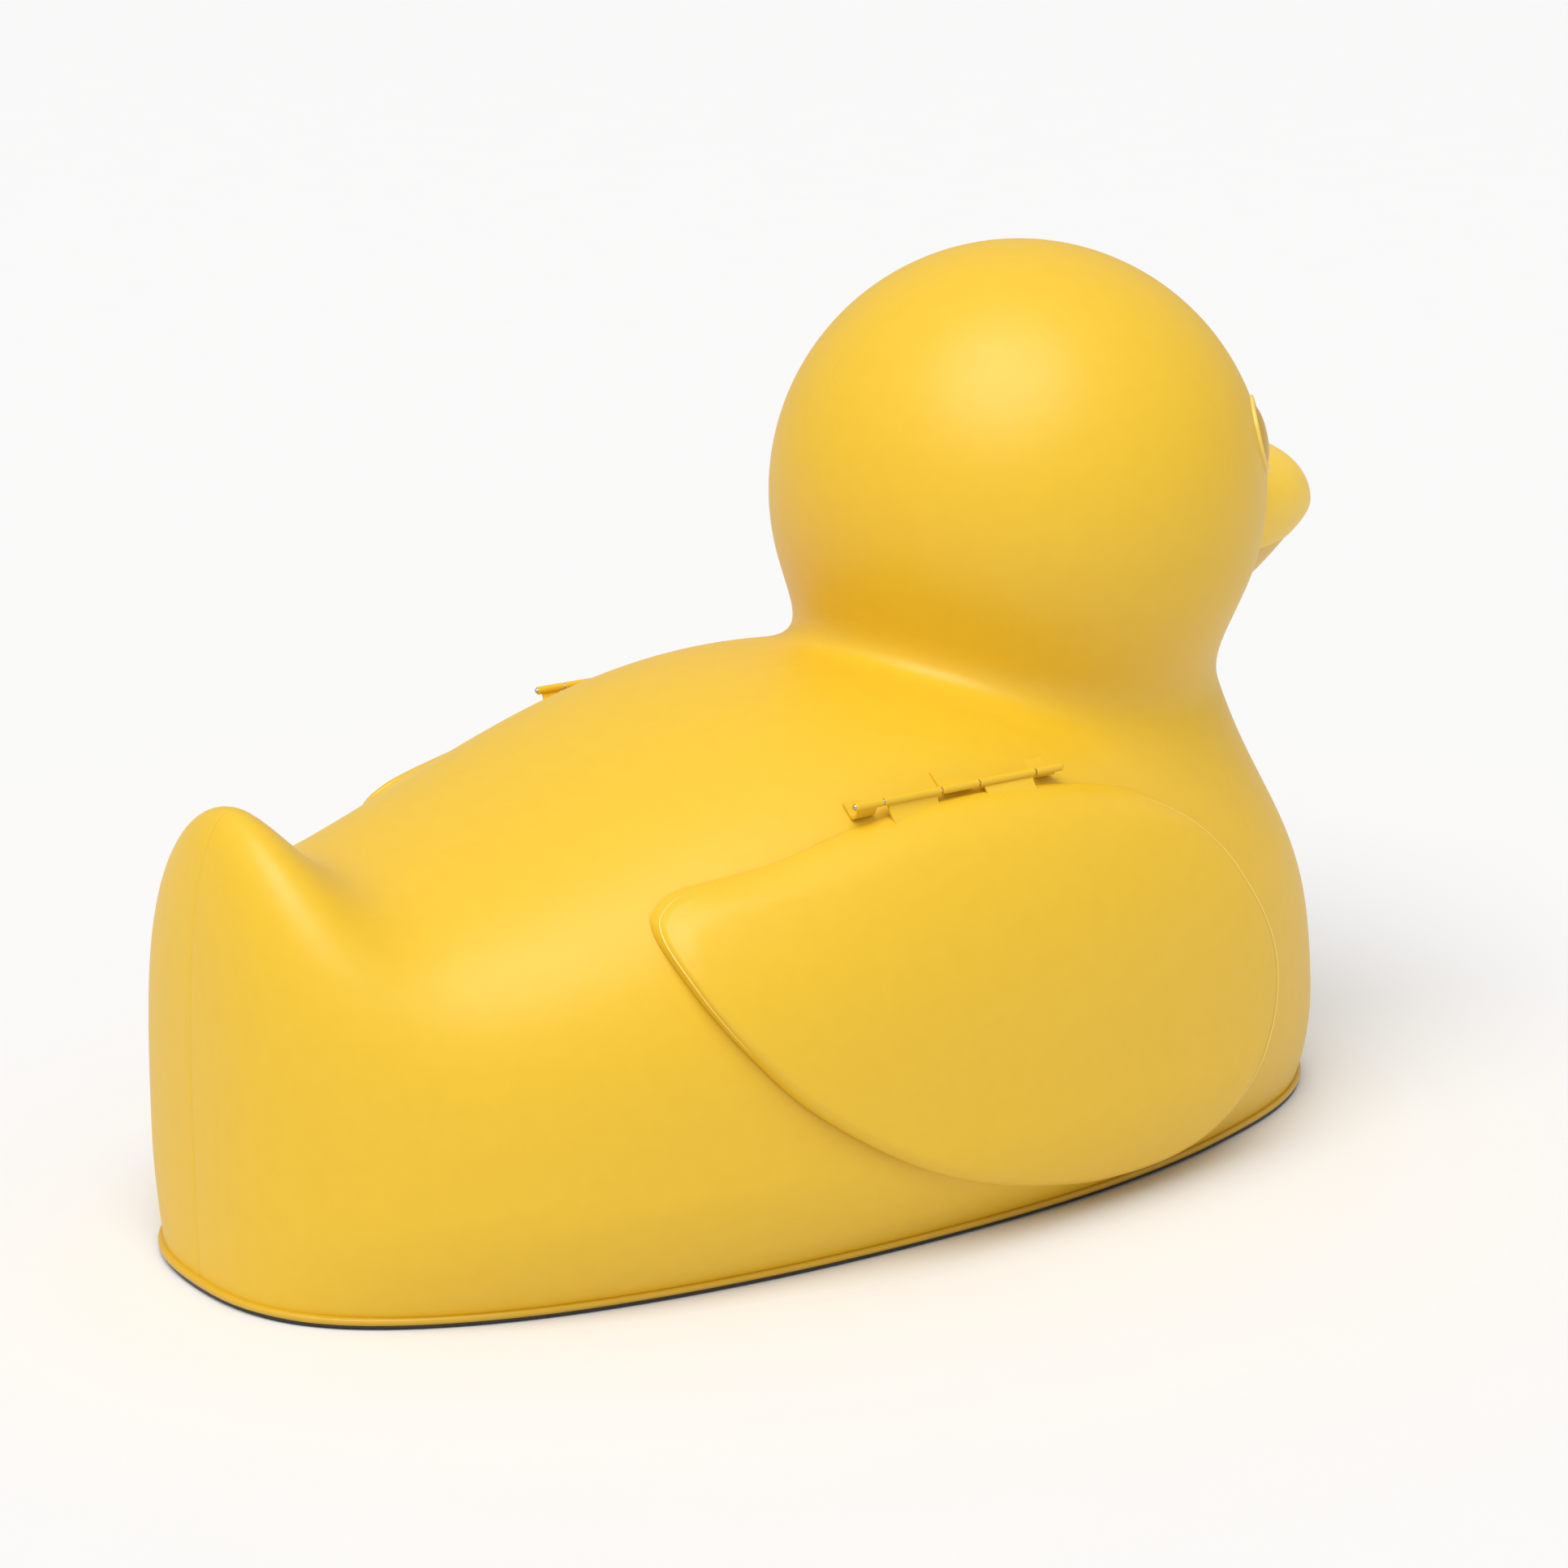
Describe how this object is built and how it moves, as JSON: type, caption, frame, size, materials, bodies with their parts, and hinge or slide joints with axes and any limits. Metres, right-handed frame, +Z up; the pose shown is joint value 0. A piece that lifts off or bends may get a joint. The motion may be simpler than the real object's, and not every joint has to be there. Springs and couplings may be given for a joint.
{
  "type": "pedal boat",
  "caption": "Duck-shaped closed pedal boat with a paddle wheel turned by cranks under the seats, a tiller-steered rudder and wing-shaped side doors.",
  "frame": {"origin": "middle of the boat's bounding box at the bottom face it rests on", "axes": "+X forward to the bill, +Y to port, +Z up"},
  "size_m": [3.4821, 1.938, 2.292],
  "materials": {
    "shell_yellow": "satin",
    "lip_yellow": "satin",
    "bill_yellow": "satin",
    "eye_yellow": "satin",
    "black_rubber": "matte",
    "trim_rubber": "matte",
    "grey_floor": "textured",
    "white_foam": "matte",
    "console_grey": "satin",
    "seat_blue": "satin",
    "pedal_black": "matte",
    "wheel_white": "satin",
    "bearing_black": "matte",
    "stainless": "brushed",
    "aluminium": "satin"
  },
  "bodies": {
    "hull": {"base_strip": "black_rubber", "bearing_bolts": "stainless", "bearing_inner_port": "bearing_black", "bearing_inner_starboard": "bearing_black", "bearing_outer_port": "bearing_black", "bearing_outer_starboard": "bearing_black", "bill_lower": "bill_yellow", "bill_upper": "bill_yellow", "column_bush": "bearing_black", "column_foot": "bearing_black", "console": "console_grey", "door_hinge_port": "stainless", "door_hinge_starboard": "stainless", "door_trim_port": "trim_rubber", "door_trim_starboard": "trim_rubber", "drain_plug": "bearing_black", "eye_port": "eye_yellow", "eye_rim_port": "eye_yellow", "eye_rim_starboard": "eye_yellow", "eye_starboard": "eye_yellow", "floor_port": "grey_floor", "floor_starboard": "grey_floor", "foam_port": "white_foam", "foam_starboard": "white_foam", "head_port": "shell_yellow", "head_starboard": "shell_yellow", "hull_pan": "lip_yellow", "lookout_trim": "trim_rubber", "mooring_eye": "stainless", "neck_bolts": "stainless", "neck_ring": "stainless", "rudder_bush": "bearing_black", "seat_base_port": "console_grey", "seat_base_starboard": "console_grey", "seat_rails_port": "aluminium", "seat_rails_starboard": "aluminium", "shell_port": "shell_yellow", "shell_starboard": "shell_yellow"},
    "crank": {"crankshaft": "stainless", "paddle_hub": "wheel_white", "paddle_blades": "wheel_white", "wheel_pin": "stainless"},
    "column": {"steering_column": "stainless", "tiller_handle": "bearing_black", "rod_pin_front": "stainless"},
    "rod": {"connecting_rod": "aluminium"},
    "rudder": {"rudder": "wheel_white", "rudder_arm": "aluminium", "rod_pin_rear": "stainless"},
    "pedal_inner_port": {"pedal_inner_port": "pedal_black"},
    "pedal_outer_port": {"pedal_outer_port": "pedal_black"},
    "wing_door_port": {"wing_door_port": "shell_yellow"},
    "door_latch_port": {"door_latch_port": "bearing_black"},
    "seat_port": {"seat_port": "seat_blue"},
    "pedal_inner_starboard": {"pedal_inner_starboard": "pedal_black"},
    "pedal_outer_starboard": {"pedal_outer_starboard": "pedal_black"},
    "wing_door_starboard": {"wing_door_starboard": "shell_yellow"},
    "door_latch_starboard": {"door_latch_starboard": "bearing_black"},
    "seat_starboard": {"seat_starboard": "seat_blue"}
  },
  "joints": [
    {"name": "crank_spin", "type": "hinge", "parent": "hull", "child": "crank", "pos_m": [0.62, 0, 0.42], "axis": [0, 1, 0], "continuous": true},
    {"name": "pedal_inner_port_spin", "type": "hinge", "parent": "crank", "child": "pedal_inner_port", "pos_m": [0.62, 0.284, 0.55], "axis": [0, 1, 0], "continuous": true},
    {"name": "pedal_outer_port_spin", "type": "hinge", "parent": "crank", "child": "pedal_outer_port", "pos_m": [0.62, 0.428, 0.29], "axis": [0, 1, 0], "continuous": true},
    {"name": "pedal_inner_starboard_spin", "type": "hinge", "parent": "crank", "child": "pedal_inner_starboard", "pos_m": [0.62, -0.284, 0.55], "axis": [0, 1, 0], "continuous": true},
    {"name": "pedal_outer_starboard_spin", "type": "hinge", "parent": "crank", "child": "pedal_outer_starboard", "pos_m": [0.62, -0.428, 0.29], "axis": [0, 1, 0], "continuous": true},
    {"name": "column_turn", "type": "hinge", "parent": "hull", "child": "column", "pos_m": [-0.15, 0, 0.4], "axis": [0, 0, 1], "range_deg": [-35, 35]},
    {"name": "rod_swing", "type": "hinge", "parent": "column", "child": "rod", "pos_m": [-0.15, 0.09, 0.358], "axis": [0, 0, 1], "range_deg": [-36, 36]},
    {"name": "rudder_turn", "type": "hinge", "parent": "hull", "child": "rudder", "pos_m": [-1, 0, 0.3], "axis": [0, 0, 1], "range_deg": [-36, 36]},
    {"name": "door_port_swing", "type": "hinge", "parent": "hull", "child": "wing_door_port", "pos_m": [0, 0.7, 1.11], "axis": [1, 0, 0], "range_deg": [0, 70]},
    {"name": "latch_port_turn", "type": "hinge", "parent": "wing_door_port", "child": "door_latch_port", "pos_m": [0.13, 0.88, 0.445], "axis": [0, 1, 0], "range_deg": [0, 90]},
    {"name": "seat_port_slide", "type": "slide", "parent": "hull", "child": "seat_port", "axis": [1, 0, 0], "range_m": [-0.05, 0.05]},
    {"name": "door_starboard_swing", "type": "hinge", "parent": "hull", "child": "wing_door_starboard", "pos_m": [0, -0.7, 1.11], "axis": [-1, 0, 0], "range_deg": [0, 70]},
    {"name": "latch_starboard_turn", "type": "hinge", "parent": "wing_door_starboard", "child": "door_latch_starboard", "pos_m": [0.13, -0.88, 0.445], "axis": [0, 1, 0], "range_deg": [0, 90]},
    {"name": "seat_starboard_slide", "type": "slide", "parent": "hull", "child": "seat_starboard", "axis": [1, 0, 0], "range_m": [-0.05, 0.05]}
  ],
  "couplings": [
    {"joint": "rod_swing", "follows": "column_turn", "ratio": -1},
    {"joint": "rudder_turn", "follows": "column_turn", "ratio": 1}
  ]
}
